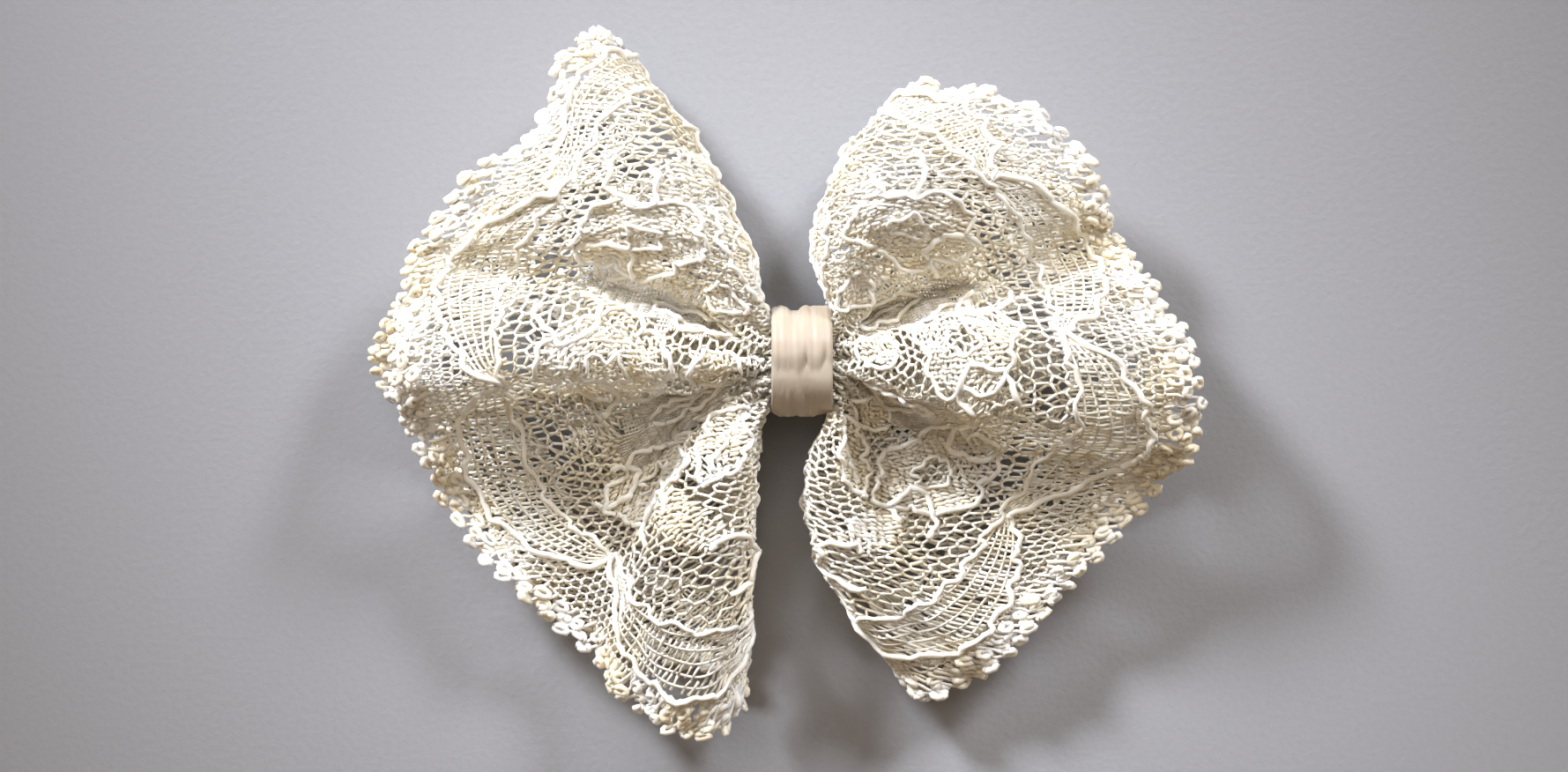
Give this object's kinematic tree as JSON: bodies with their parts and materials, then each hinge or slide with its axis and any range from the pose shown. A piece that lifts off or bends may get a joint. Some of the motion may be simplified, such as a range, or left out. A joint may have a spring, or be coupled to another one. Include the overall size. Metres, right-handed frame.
{
  "type": "lace hair bow on an alligator clip",
  "caption": "Gathered bow of ivory corded lace in two layers, with a satin wrap at the waist, on a sprung alligator hair clip.",
  "frame": {"origin": "on the underside of the clip, straight below the middle of the waist", "axes": "+X along the clip towards its hinge, +Y to the top of the bow, +Z out of the bow's face"},
  "size_m": [0.0698, 0.0596, 0.0174],
  "materials": {
    "lace": "ivory corded lace with a soft sheen",
    "satin": "peach cream satin ribbon",
    "thread": "matt sewing thread",
    "glue": "hot-melt glue",
    "felt": "felt",
    "ribbon": "grosgrain ribbon",
    "steel": "nickel plated pressed steel"
  },
  "bodies": {
    "bow": {"front_lace": "lace", "back_lace": "lace", "centre_wrap": "satin", "gathering_thread": "thread", "wrap_stitches": "thread", "glue_bed": "glue", "felt_pad": "felt", "clip_ribbon": "ribbon", "clip_upper_arm": "steel", "hinge_pin": "steel", "clip_spring": "steel"},
    "jaw": {"clip_lower_arm": "steel"}
  },
  "joints": [
    {"name": "jaw_hinge", "type": "hinge", "parent": "bow", "child": "jaw", "pos_m": [0.012, 0, 0.0019], "axis": [0, -1, 0], "range_deg": [0, 22], "stiffness_Nm_per_rad": 0.002, "springref_deg": -28.65, "deforming": ["clip_spring"]}
  ]
}
